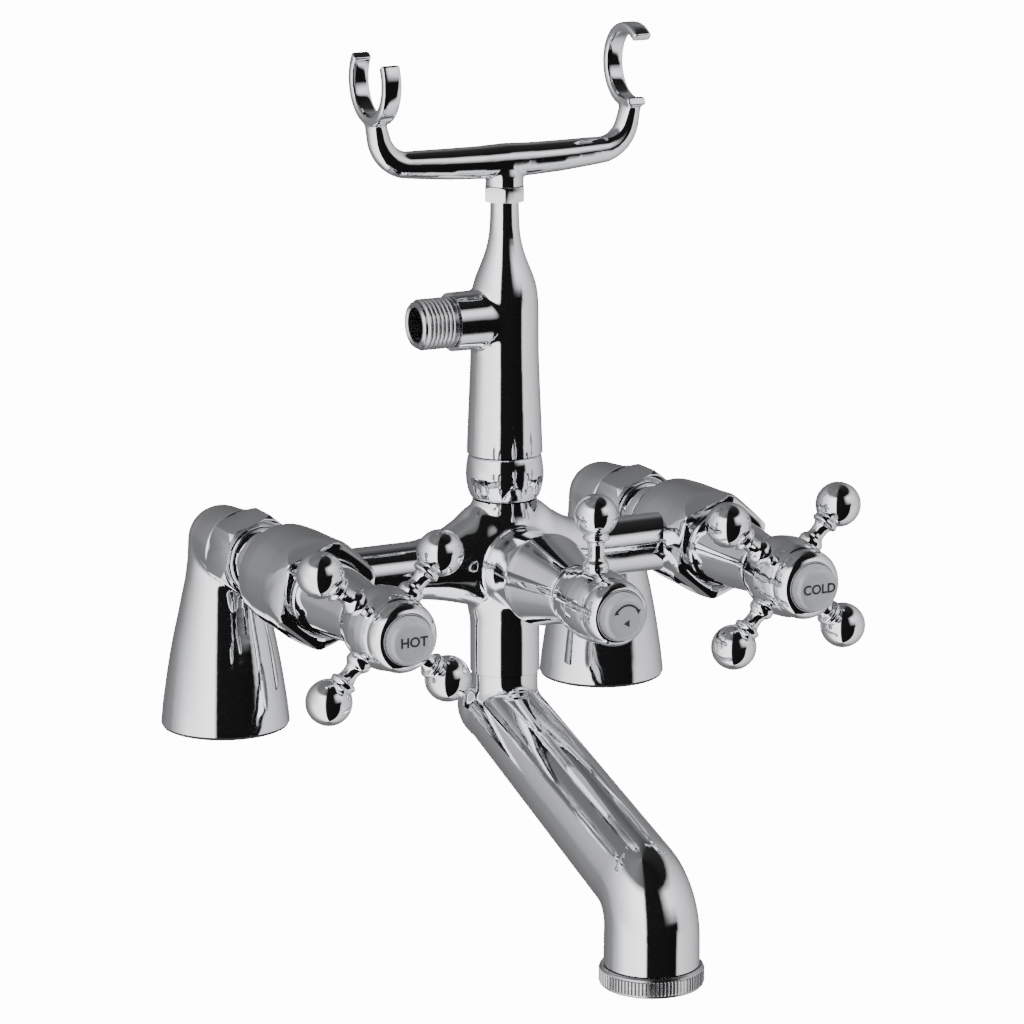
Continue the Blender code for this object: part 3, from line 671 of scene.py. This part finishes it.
@dataclass
class IndexMark:
    """What is printed on an index cap."""

    knob: Knob
    lift: float = 0.03
    depth: float = 0.06
    weight: float = 0.11
    line_inner: float = 4.6
    line_outer: float = 5.3
    line_start: float = math.radians(35)
    line_sweep: float = math.radians(110)
    head_radius: float = 1.1
    pointer_radius: float = 1.5
    pointer_drop: float = 1.6

    def lettering(self, words: str, size: float, rise: float) -> None:
        """Print a word across the cap.

        Args:
            words: The generic word.
            size: The height of the type.
            rise: How far above the cap's centre the type's middle is.
        """
        curve = bpy.data.curves.new("lettering", "FONT")
        curve.body = words
        curve.size = size
        curve.align_x = "CENTER"
        curve.align_y = "CENTER"
        curve.extrude = self.depth
        curve.offset = self.weight
        text = bpy.data.objects.new("lettering", curve)
        bpy.context.scene.collection.objects.link(text)
        graph = bpy.context.evaluated_depsgraph_get()
        mesh = bpy.data.meshes.new_from_object(text.evaluated_get(graph))
        bm = bmesh.new()
        bm.from_mesh(mesh)
        bpy.data.objects.remove(text, do_unlink=True)
        bpy.data.curves.remove(curve)
        bpy.data.meshes.remove(mesh)
        bmesh.ops.remove_doubles(bm, verts=bm.verts, dist=MERGE)
        moved(bm, self.on_cap(rise))
        piece(f"{self.knob.word}_lettering", bm, INK, self.knob.body)

    def on_cap(self, rise: float) -> Matrix:
        """The place just in front of the cap's face, that far above its centre."""
        return forward_axis(self.knob.x) @ Matrix.Translation((0, rise, self.knob.face() + self.lift))

    def triangle(self, name: str, radius: float, spot: Sequence[float], angle: float) -> None:
        """Print a small solid triangle.

        Args:
            name: The piece's name.
            radius: Centre to corner.
            spot: Its centre on the cap.
            angle: How far it is turned, in degrees.
        """
        bm = bmesh.new()
        matrix = Matrix.Translation(spot) @ Matrix.Rotation(math.radians(angle), 4, "Z")
        bmesh.ops.create_cone(bm, cap_ends=True, segments=3, radius1=radius, radius2=radius,
                              depth=2 * self.depth, matrix=matrix)
        piece(name, moved(bm, self.on_cap(0.0)), INK, self.knob.body)

    def change_over(self) -> None:
        """Print the diverter's curved line with its pointer."""
        line = bmesh.new()
        section = ((self.line_inner, 0, -self.depth), (self.line_outer, 0, -self.depth),
                   (self.line_outer, 0, self.depth), (self.line_inner, 0, self.depth))
        corners = [line.verts.new(spot) for spot in section]
        sides = [line.edges.new((corners[i - 1], corners[i])) for i in range(4)]
        bmesh.ops.rotate(line, verts=corners, cent=(0, 0, 0),
                         matrix=Matrix.Rotation(self.line_start, 3, "Z"))
        bmesh.ops.spin(line, geom=corners + sides, cent=(0, 0, 0), axis=(0, 0, 1),
                       angle=self.line_sweep, steps=32)
        bmesh.ops.holes_fill(line, edges=[edge for edge in line.edges if edge.is_boundary])
        piece("diverter_mark_line", moved(line, self.on_cap(0.0)), INK, self.knob.body)
        middle = (self.line_inner + self.line_outer) / 2
        for name, angle, turn in (("left", 150.0, -120.0), ("right", 30.0, -60.0)):
            spot = (middle * math.cos(math.radians(angle)), middle * math.sin(math.radians(angle)), 0)
            self.triangle(f"diverter_mark_{name}_head", self.head_radius, spot, turn)
        self.triangle("diverter_mark_pointer", self.pointer_radius, (0, -self.pointer_drop, 0), 90.0)


@dataclass
class ValveFront:
    """The conical bonnet between a barrel and its handle."""

    side: Side

    def build(self) -> None:
        """Build the bonnet with the short flange at its foot."""
        outline = [(9.3, 91.7), (14.0, 91.7), (14.1, 95.3), (13.7, 96.2), (13.2, 101.0), (12.4, 109.0),
                   (11.4, 118.4), (10.8, 124.8), (10.5, 127.6), (10.0, 128.2), (4.9, 128.2), (4.9, 125.0),
                   (9.2, 125.0)]
        bm = moved(turned(eased(outline, 0.4)), forward_axis(self.side.place))
        piece(f"{self.side.word}_bonnet_piece", bm, CHROME, "fixed", f"{self.side.word}_bonnet")


@dataclass
class DiverterFront:
    """The conical nose in front of the centre boss."""

    front: float = 107.5
    gap: float = 0.3

    def build(self) -> None:
        """Build the nose with a narrow rim at its foot."""
        low = self.front + self.gap
        outline = [(8.0, low), (16.7, low), (17.0, low + 0.4), (16.9, low + 1.4), (16.2, 111.4),
                   (14.6, 117.4), (13.0, 123.4), (11.7, 128.4), (10.9, 131.6), (10.5, 132.5),
                   (5.0, 132.7), (5.0, 129.5), (8.0, 129.5)]
        bm = moved(turned(eased(outline, 0.5)), forward_axis(0.0))
        piece("diverter_nose_piece", bm, CHROME, "fixed", "diverter_nose")


@dataclass
class Riser:
    """Ball collar, riser column with its side boss, and the threaded hose outlet."""

    hose_height: float = 162.0
    hose_reach: float = 36.3
    crest_radius: float = 9.313
    thread_pitch: float = 1.6124
    thread_depth: float = 0.75
    threads: int = 7
    base: float = 112.2
    top: float = 204.2
    boss_end: float = 22.0
    bore_radius: float = 6.3

    def sideways(self) -> Matrix:
        """The place of the hose outlet's axis, whose local Z runs to -X."""
        place = Matrix.Translation((0, -BAR_REACH, self.hose_height))
        return place @ Matrix.Rotation(-QUARTER_TURN, 4, "Y")

    def collar(self) -> None:
        """Build the ball shaped collar nut."""
        outline = eased([(9.2, 95.4), (11.9, 95.4), (12.7, 96.2), (13.5, 98.4), (14.1, 101.4), (14.3, 104.0),
                         (14.1, 107.0), (13.7, 109.8), (13.3, 111.2), (12.6, 111.7), (9.2, 111.7)], 0.7)
        piece("collar_piece", moved(turned(outline), upright_axis()), CHROME, "fixed", "riser_collar")

    def column(self) -> None:
        """Build the column and its side boss as one blended form."""
        profile = [(0, 108.0), (13.9, 108.0), (13.9, 114.0), (13.4, 126.0), (12.8, 140.0), (12.45, 150.0),
                   (12.4, 165.0), (12.2, 170.0), (11.5, 174.4), (10.0, 178.6), (8.4, 182.4), (7.0, 186.4),
                   (6.0, 190.6), (5.55, 194.6), (5.35, 199.0), (5.2, 208.0), (0, 208.0)]
        boss = [(0, 0), (10.9, 0), (10.7, 26.0), (0, 26.0)]
        forms = [moved(turned(eased(profile, 2.0)), upright_axis()), moved(turned(boss), self.sideways())]
        bm = fused(forms, COLUMN_CELL, LIGHT_BLEND)
        trimmed(bm, (0, 0, self.base), (0, 0, -1))
        trimmed(bm, (0, 0, self.top), (0, 0, 1))
        trimmed(bm, (-self.boss_end, 0, 0), (-1, 0, 0))
        bore = moved(turned([(0, 8.0), (8.75, 8.0), (8.75, 24.0), (0, 24.0)]), self.sideways())
        piece("column_casting", combined(bm, bore, "DIFFERENCE"), CAST_CHROME, "fixed", "riser_column")

    def outlet(self) -> None:
        """Build the nipple with its bore and its thread."""
        bore = self.bore_radius
        crest = self.crest_radius
        pitch = self.thread_pitch
        root = crest - self.thread_depth
        outline = [(bore, 8.6), (8.6, 8.6), (8.6, 22.3), (9.2, 22.3), (9.2, 22.9), (root, 23.2)]
        for turn in range(self.threads):
            low = 23.4 + turn * pitch
            outline += [(root, low), (crest, low + pitch * 0.38), (crest, low + pitch * 0.56),
                        (root, low + pitch * 0.94)]
        end = self.hose_reach
        outline += [(root - 0.1, end - 0.7), (root - 0.7, end), (7.0, end), (bore, end - 0.6)]
        bm = moved(turned(outline), self.sideways())
        piece("outlet_piece", bm, THREAD_CHROME, "fixed", "hose_nipple")
        # A brass disc closes the bore's far end; its nearly black colour is painted shade for the depth of
        # the bore.
        well = [(0, 8.0), (bore - 0.02, 8.0), (bore - 0.02, 9.0), (0, 9.0)]
        piece("outlet_well", moved(turned(well), self.sideways()), BORE_SHADE_BRASS, "fixed")

    def build(self) -> None:
        """Build the whole riser."""
        self.collar()
        self.column()
        self.outlet()


@dataclass
class Cradle:
    """Handset cradle: one cast bar with a hook at each end, on a hexagonal nut."""

    height: float = 219.0
    spread: float = 51.0
    hook_height: float = 250.5
    hook_inner: float = 11.9
    hook_outer: float = 15.5
    hook_width: float = 7.3
    hook_squareness: float = 0.42
    left_hook: tuple[float, float] = (150.0, 398.0)
    right_hook: tuple[float, float] = (-112.0, 130.0)
    bend_start: float = 37.6
    bend_radius: float = 12.4
    base: float = 210.3
    nut_corner: float = 8.0
    nut_turn: float = math.radians(5)

    def nut(self) -> None:
        """Build the hexagonal nut under the cradle."""
        outline = [(3.9, 204.5), (7.2, 204.5), (8.1, 205.4), (8.1, 209.2), (7.2, 210.0), (3.9, 210.0)]
        flats = hexagon(self.nut_corner, 203.0, 212.0, self.nut_turn)
        bm = combined(turned(eased(outline, 0.2)), flats, "INTERSECT")
        moved(softened(bm, 28.0, 0.2), upright_axis())
        piece("cradle_nut_piece", bm, CHROME, "fixed", "cradle_nut")

    def hook(self, x: float, start: float, end: float) -> bmesh.types.BMesh:
        """Bend a flat strip round an axis along X, angles in degrees from +Y towards +Z."""
        bm = bmesh.new()
        half = self.hook_width / 2
        thickness = self.hook_outer - self.hook_inner
        middle = (self.hook_inner + self.hook_outer) / 2
        bmesh.ops.create_circle(bm, segments=32, radius=1.0)
        for vert in bm.verts:
            angle = math.atan2(vert.co.y, vert.co.x)
            wide = math.copysign(abs(math.cos(angle)) ** self.hook_squareness, math.cos(angle))
            deep = math.copysign(abs(math.sin(angle)) ** self.hook_squareness, math.sin(angle))
            vert.co = (x + wide * half, middle + deep * thickness / 2, 0)
        bmesh.ops.rotate(bm, verts=bm.verts, cent=(0, 0, 0),
                         matrix=Matrix.Rotation(math.radians(start), 3, "X"))
        bmesh.ops.spin(bm, geom=bm.verts[:] + bm.edges[:], cent=(0, 0, 0), axis=(1, 0, 0),
                       angle=math.radians(end - start), steps=72)
        bmesh.ops.holes_fill(bm, edges=[edge for edge in bm.edges if edge.is_boundary])
        bmesh.ops.recalc_face_normals(bm, faces=bm.faces)
        return moved(bm, Matrix.Translation((0, -BAR_REACH, self.hook_height)))

    def bar(self) -> bmesh.types.BMesh:
        """Loft the bar from hook to hook."""
        y = -BAR_REACH
        z = self.height
        half: list[Station] = [((0, y, z), (1, 0, 0), 6.3, 6.4), ((10, y, z), (1, 0, 0), 5.9, 6.0),
                               ((22, y, z + 0.3), (1, 0, 0.03), 5.8, 5.7),
                               ((34, y, z + 0.9), (1, 0, 0.08), 5.3, 5.2)]
        bend = self.bend_radius
        for angle in range(12, 84, 8):
            turn = math.radians(angle)
            spot = (self.bend_start + bend * math.sin(turn), y, z + bend + 1.0 - bend * math.cos(turn))
            girth = 5.0 - 0.009 * angle
            half.append((spot, (math.cos(turn), 0, math.sin(turn)), girth, girth))
        half.append(((self.spread - 0.3, y, z + 15.5), (0.05, 0, 1), 4.4, 3.9))
        half.append(((self.spread, y, z + 18.4), (0, 0, 1), 5.4, 3.5))
        mirrored = [((-spot[0], spot[1], spot[2]), (ahead[0], 0, -ahead[2]), wide, tall)
                    for spot, ahead, wide, tall in reversed(half[1:])]
        return swept(mirrored + half, (0, 1, 0), 48)

    def casting(self) -> None:
        """Melt the bar, the boss and the hooks into one casting."""
        boss = turned([(0, 206.0), (6.9, 206.0), (6.9, 214.0), (5.5, 219.0), (0, 220.0)])
        forms = [self.bar(), moved(boss, upright_axis()), self.hook(-self.spread, *self.left_hook),
                 self.hook(self.spread, *self.right_hook)]
        bm = fused(forms, FINE_CELL, CRISP_BLEND)
        trimmed(bm, (0, 0, self.base), (0, 0, -1))
        piece("cradle_casting", bm, CAST_CHROME, "fixed", "cradle")

    def build(self) -> None:
        """Build the nut and the cradle."""
        self.nut()
        self.casting()


@dataclass
class Spout:
    """Swivel spout with its knurled aerator."""

    top: float = 30.0
    slope: float = math.radians(18)
    reach: float = 189.5
    end: float = -47.8
    bend_radius: float = 18.0
    tip_radius: float = 17.0
    aerator_end: float = -55.6
    gap: float = 0.3
    knurls: int = 90
    knurl_depth: float = 0.45
    knurl_radius: float = 18.5
    heel_back: float = 6.0
    heel_height: float = 15.5
    heel_radius: float = 15.0
    run_steps: int = 12
    bend_steps: int = 16

    def path(self) -> list[Station]:
        """The stations of the sloping tube and its downward end."""
        heel = Vector((0, self.heel_back - BAR_REACH, self.heel_height))
        ahead = Vector((0, -math.cos(self.slope), -math.sin(self.slope)))
        bend_y = -self.reach + self.bend_radius - self.bend_radius * math.sin(self.slope)
        run = (heel.y - bend_y) / math.cos(self.slope)
        stations: list[Station] = [(heel - ahead * 3.0, ahead, 14.2, 14.2)]
        for step in range(self.run_steps + 1):
            part = step / self.run_steps
            radius = 14.4 + 1.2 * part
            stations.append((heel + ahead * run * part, ahead, radius, radius))
        corner = heel + ahead * run
        centre = corner + Vector((0, math.sin(self.slope), -math.cos(self.slope))) * self.bend_radius
        angle = QUARTER_TURN - self.slope
        for step in range(1, self.bend_steps + 1):
            turn = Matrix.Rotation(angle * step / self.bend_steps, 3, "X")
            arm = turn @ (corner - centre)
            radius = 15.6 + 1.3 * step / self.bend_steps
            stations.append((centre + arm, Vector((1, 0, 0)).cross(arm), radius, radius))
        tip = Vector((0, stations[-1][0].y, self.end - 4.0))
        stations.append((tip, Vector((0, 0, -1)), self.tip_radius, self.tip_radius))
        return stations

    def casting(self) -> None:
        """Melt the stub, the heel and the tube into one casting."""
        stub = [(0, 10.0), (12.1, 10.0), (12.3, self.top + 4.0), (0, self.top + 4.0)]
        heel = arc(0, self.heel_radius, -90, 90, 32)
        heel[0] = (0, -self.heel_radius)
        heel[-1] = (0, self.heel_radius)
        heel_place = Matrix.Translation((0, self.heel_back - BAR_REACH, self.heel_height))
        forms = [swept(self.path(), (1, 0, 0), ROUND), moved(turned(stub), upright_axis()),
                 moved(turned(heel), heel_place)]
        bm = fused(forms, COARSE_CELL, LIGHT_BLEND)
        trimmed(bm, (0, 0, self.top), (0, 0, 1))
        trimmed(bm, (0, 0, self.end), (0, 0, -1))
        piece("spout_casting", bm, CAST_CHROME, "spout_group", "spout")

    def aerator(self) -> None:
        """Build the housing with fine upright knurls."""
        top = self.end - self.gap
        low = self.aerator_end
        outline = [(11.5, low), (17.0, low), (17.8, low + 0.25), (18.3, low + 0.8), (18.3, low + 1.3),
                   (18.6, low + 1.6), (18.6, top - 1.5), (18.3, top - 1.2), (18.2, top - 0.6), (17.6, top),
                   (14.5, top), (14.5, low + 2.0), (11.5, low + 2.0)]
        bm = turned(outline, self.knurls * 4)
        for vert in bm.verts:
            flat = math.hypot(vert.co.x, vert.co.y)
            if flat > self.knurl_radius:
                angle = math.atan2(vert.co.y, vert.co.x)
                cut = self.knurl_depth * max(0.0, math.cos(self.knurls * angle))
                vert.co.x *= (flat - cut) / flat
                vert.co.y *= (flat - cut) / flat
        moved(bm, upright_axis(-self.reach))
        piece("aerator_ring", bm, THREAD_CHROME, "spout_group", "aerator_housing")

    def build(self) -> None:
        """Build the spout and the aerator."""
        self.casting()
        self.aerator()


# ---------------------------------------------------------------- studio


@dataclass(frozen=True)
class Studio:
    """Pale floor, soft light, the surroundings that chrome mirrors, and the camera.

    Each band lists the angle round from the camera, in degrees, and the grey that chrome sees there.
    The heights say over which heights of a direction a band takes over from the one below it.
    """

    eye: tuple[float, float, float] = (-0.7967, -1.6719, 0.5295)
    azimuth: float = math.radians(-26.747)
    elevation: float = math.radians(13.576)
    lens: float = 156.35
    sensor: float = 36.0
    floor_height: float = -0.2
    floor_size: float = 6.0
    paleness: float = 13.0
    lamp_power: float = 12.0
    lamp_size: float = 1.2
    lamp_place: tuple[float, float, float] = (-0.3, -0.4, 1.6)
    low_band: tuple[tuple[float, float], ...] = (
        (-180, 0.17), (-140, 0.22), (-112, 0.34), (-92, 0.9), (-68, 2.3), (-17, 2.9), (-12, 0.012),
        (58, 0.008), (64, 1.3), (100, 1.0), (140, 0.5), (155, 0.26), (180, 0.17))
    level_band: tuple[tuple[float, float], ...] = (
        (-180, 0.14), (-148, 0.2), (-122, 0.36), (-98, 0.75), (-72, 1.5), (-42, 2.6), (-17, 2.9),
        (-12, 0.012), (62, 0.008), (70, 1.1), (100, 1.0), (140, 0.5), (155, 0.26), (180, 0.14))
    middle_band: tuple[tuple[float, float], ...] = (
        (-180, 0.16), (-148, 0.24), (-122, 0.42), (-98, 0.85), (-72, 1.7), (-42, 2.9), (-19, 3.0),
        (-12, 0.012), (30, 0.01), (40, 0.6), (55, 1.7), (100, 1.1), (140, 0.55), (160, 0.28), (180, 0.16))
    high_band: tuple[tuple[float, float], ...] = (
        (-180, 0.18), (-110, 0.2), (-50, 0.26), (-18, 0.16), (-8, 0.012), (60, 0.01), (150, 0.03),
        (168, 0.12), (180, 0.18))
    level_heights: tuple[float, float] = (-0.14, 0.0)
    middle_heights: tuple[float, float] = (0.08, 0.46)
    high_heights: tuple[float, float] = (0.62, 0.76)

    def axes(self) -> tuple[Vector, Vector, Vector]:
        """The camera's right, up and back directions."""
        right = Vector((math.cos(self.azimuth), math.sin(self.azimuth), 0))
        up = Vector((-math.sin(self.azimuth) * math.sin(self.elevation),
                     math.cos(self.azimuth) * math.sin(self.elevation), math.cos(self.elevation)))
        return right, up, right.cross(up)

    def camera(self) -> None:
        """Set up the camera."""
        right, up, back = self.axes()
        data = bpy.data.cameras.new("camera")
        data.lens = self.lens
        data.sensor_width = self.sensor
        item = bpy.data.objects.new("camera", data)
        matrix = Matrix((right, up, back)).transposed().to_4x4()
        matrix.translation = self.eye
        item.matrix_world = matrix
        bpy.context.scene.collection.objects.link(item)
        bpy.context.scene.camera = item

    def floor(self) -> None:
        """Lay the plain pale floor, which chrome doesn't mirror."""
        bm = bmesh.new()
        bmesh.ops.create_grid(bm, x_segments=1, y_segments=1, size=self.floor_size,
                              matrix=Matrix.Translation((0, 0, self.floor_height)))
        mesh = bpy.data.meshes.new("floor")
        bm.to_mesh(mesh)
        bm.free()
        material = bpy.data.materials.new("floor_paint")
        material.use_nodes = True
        shader = material.node_tree.nodes["Principled BSDF"]
        shader.inputs["Base Color"].default_value = (0.9, 0.9, 0.9, 1.0)
        shader.inputs["Roughness"].default_value = 0.9
        shader.inputs["Emission Color"].default_value = (1.0, 1.0, 1.0, 1.0)
        shader.inputs["Emission Strength"].default_value = self.paleness
        mesh.materials.append(material)
        item = bpy.data.objects.new("floor", mesh)
        item.visible_glossy = False
        item.visible_diffuse = False
        bpy.context.scene.collection.objects.link(item)

    def surroundings(self) -> None:
        """Make pale air for the camera, and banded light and dark panels for the chrome."""
        world = bpy.data.worlds.new("studio")
        bpy.context.scene.world = world
        world.use_nodes = True
        nodes = world.node_tree.nodes
        link = world.node_tree.links.new
        place = nodes.new("ShaderNodeTexCoord").outputs["Generated"]
        share = self._round(nodes, link, place)
        split = nodes.new("ShaderNodeSeparateXYZ")
        link(place, split.inputs["Vector"])
        mirrored = self._ramp(nodes, link, share, self.low_band)
        for band, heights in ((self.level_band, self.level_heights), (self.middle_band, self.middle_heights),
                              (self.high_band, self.high_heights)):
            above = self._ramp(nodes, link, share, band)
            height = self._ranged(nodes, link, split.outputs["Z"], heights)
            mirrored = self._mixed(nodes, link, height, mirrored, above)
        path = nodes.new("ShaderNodeLightPath")
        seen = self._mixed(nodes, link, path.outputs["Is Glossy Ray"], (1.0, 1.0, 1.0, 1.0), mirrored)
        pale = (self.paleness, self.paleness, self.paleness, 1.0)
        air = self._mixed(nodes, link, path.outputs["Is Camera Ray"], seen, pale)
        link(air, nodes["Background"].inputs["Color"])

    def _round(self, nodes: bpy.types.Nodes, link, place: bpy.types.NodeSocket) -> bpy.types.NodeSocket:
        """Turn a direction into its share of the way round, 0.5 being the camera's side."""
        right, _, back = self.axes()
        around = nodes.new("ShaderNodeMath")
        around.operation = "ARCTAN2"
        for number, direction in enumerate((right, Vector((back.x, back.y, 0)).normalized())):
            dot = nodes.new("ShaderNodeVectorMath")
            dot.operation = "DOT_PRODUCT"
            dot.inputs[1].default_value = direction
            link(place, dot.inputs[0])
            link(dot.outputs["Value"], around.inputs[number])
        return self._ranged(nodes, link, around.outputs["Value"], (-math.pi, math.pi))

    @staticmethod
    def _ranged(nodes: bpy.types.Nodes, link, value: bpy.types.NodeSocket,
                ends: tuple[float, float]) -> bpy.types.NodeSocket:
        """Map a value from between two ends to between 0 and 1."""
        node = nodes.new("ShaderNodeMapRange")
        node.inputs["From Min"].default_value = ends[0]
        node.inputs["From Max"].default_value = ends[1]
        link(value, node.inputs["Value"])
        return node.outputs["Result"]

    @staticmethod
    def _mixed(nodes: bpy.types.Nodes, link, factor: bpy.types.NodeSocket, *colours) -> bpy.types.NodeSocket:
        """Mix two colours, each of them a socket or four plain numbers."""
        node = nodes.new("ShaderNodeMix")
        node.data_type = "RGBA"
        link(factor, node.inputs["Factor"])
        for name, colour in zip(("A", "B"), colours):
            if isinstance(colour, tuple):
                node.inputs[name].default_value = colour
            else:
                link(colour, node.inputs[name])
        return node.outputs["Result"]

    @staticmethod
    def _ramp(nodes: bpy.types.Nodes, link, share: bpy.types.NodeSocket,
              stops: Sequence[tuple[float, float]]) -> bpy.types.NodeSocket:
        """Add a slightly cool grey ramp all the way round."""
        ramp = nodes.new("ShaderNodeValToRGB")
        elements = ramp.color_ramp.elements
        while len(elements) < len(stops):
            elements.new(0.5)
        for element, (angle, grey) in zip(elements, stops):
            element.position = (angle + 180) / 360
            element.color = (grey, grey, grey * 1.02, 1.0)
        link(share, ramp.inputs["Fac"])
        return ramp.outputs["Color"]

    def lamp(self) -> None:
        """Hang one broad soft lamp over the object."""
        data = bpy.data.lights.new("soft_lamp", "AREA")
        data.energy = self.lamp_power
        data.size = self.lamp_size
        item = bpy.data.objects.new("soft_lamp", data)
        item.matrix_world = Matrix.Translation(self.lamp_place)
        item.visible_glossy = False
        bpy.context.scene.collection.objects.link(item)

    def build(self) -> None:
        """Build everything round the object."""
        self.camera()
        self.floor()
        self.surroundings()
        self.lamp()


def dress_carried(frame: dict) -> None:
    """Give every CAD node the finish of its slot, apart from the tails, whose ends are plated.
    """
    slots = {part["node"]: part["material_slot"] for part in frame["record"]["subparts"]}
    for name, node in frame["nodes"].items():
        finish = CHROME if name in PLATED else CARRIED[slots[name]]
        node.data.materials.clear()
        node.data.materials.append(finish.build())
        LOG.info("%s: carried over in %s", name, finish.name)


def main() -> None:
    """Load the frame and build every sub-assembly."""
    logging.basicConfig(level=logging.INFO, format="%(relativeCreated)d %(name)s %(message)s")
    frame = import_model()
    dress_carried(frame)
    Studio().build()
    for side in Side:
        Leg(side).build()
        ValveFront(side).build()
    MixerBody().build()
    DiverterFront().build()
    cross = tuple(CROSS_ANGLE + quarter * QUARTER_TURN for quarter in range(4))
    for side in Side:
        knob = Knob(side.word, f"{side.word}_handle", side.place, cross, shift=0.0, reach=32.25,
                    ball_radius=8.28, hub_radius=14.7)
        knob.build()
        IndexMark(knob).lettering(side.name, LETTER_SIZE, LETTER_RISE)
    lever = Knob("diverter", "diverter_knob", 0.0, (QUARTER_TURN,), shift=4.5, reach=32.0,
                 ball_radius=7.7, hub_radius=13.2)
    lever.build()
    IndexMark(lever).change_over()
    Riser().build()
    Cradle().build()
    Spout().build()


if __name__ == "__main__":
    main()
